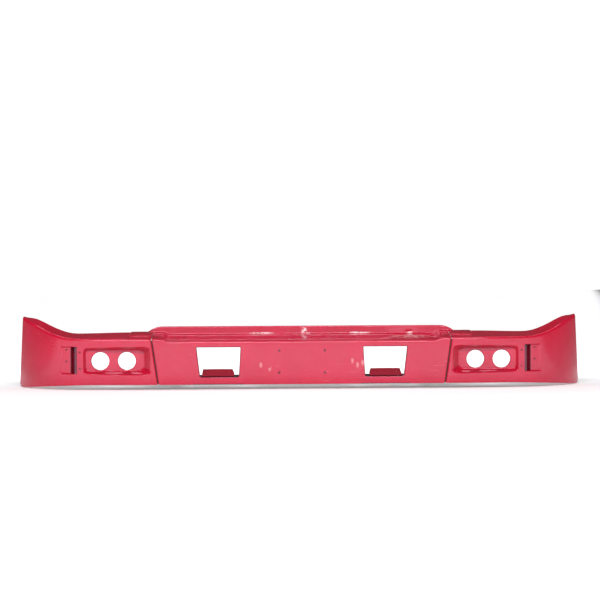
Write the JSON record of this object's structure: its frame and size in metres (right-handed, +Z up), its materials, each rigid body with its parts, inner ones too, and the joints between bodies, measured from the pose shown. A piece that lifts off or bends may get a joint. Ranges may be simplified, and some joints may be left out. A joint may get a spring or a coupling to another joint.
{
  "type": "truck front bumper",
  "caption": "Pressed sheet-steel front bumper with a recessed tread and upright lip, trapezoid apertures, round lamp holes in pockets, and wings that flare up and sweep back.",
  "frame": {"origin": "below the middle of the bumper, halfway through its depth, at the height of the wing tips' lower edge", "axes": "X runs along the bumper, the front faces -Y, +Z is up"},
  "size_m": [2.48, 0.212, 0.3116],
  "materials": {
    "red_paint": "gloss red enamel with light scuffs",
    "black_coat": "semi-matt black chassis coat",
    "zinc": "zinc-plated, dull",
    "rubber_strip": "matt"
  },
  "bodies": {
    "root": {"centre_panel": "red_paint", "upper_lip": "red_paint", "left_wing": "red_paint", "right_wing": "red_paint", "left_strap": "red_paint", "right_strap": "red_paint", "left_tongue": "red_paint", "right_tongue": "red_paint", "lower_rail": "black_coat", "upper_rail": "black_coat", "lip_ribs": "black_coat", "left_chassis_bracket": "black_coat", "right_chassis_bracket": "black_coat", "left_wing_bracket": "black_coat", "right_wing_bracket": "black_coat", "left_upper_stay": "black_coat", "right_upper_stay": "black_coat", "left_lower_stay": "black_coat", "right_lower_stay": "black_coat", "left_seam_strip": "rubber_strip", "right_seam_strip": "rubber_strip", "seam_bolts": "zinc", "seam_washers": "zinc", "seam_nuts": "zinc", "plate_nuts": "zinc", "marker_nuts": "zinc", "tongue_nuts": "zinc"}
  },
  "joints": []
}
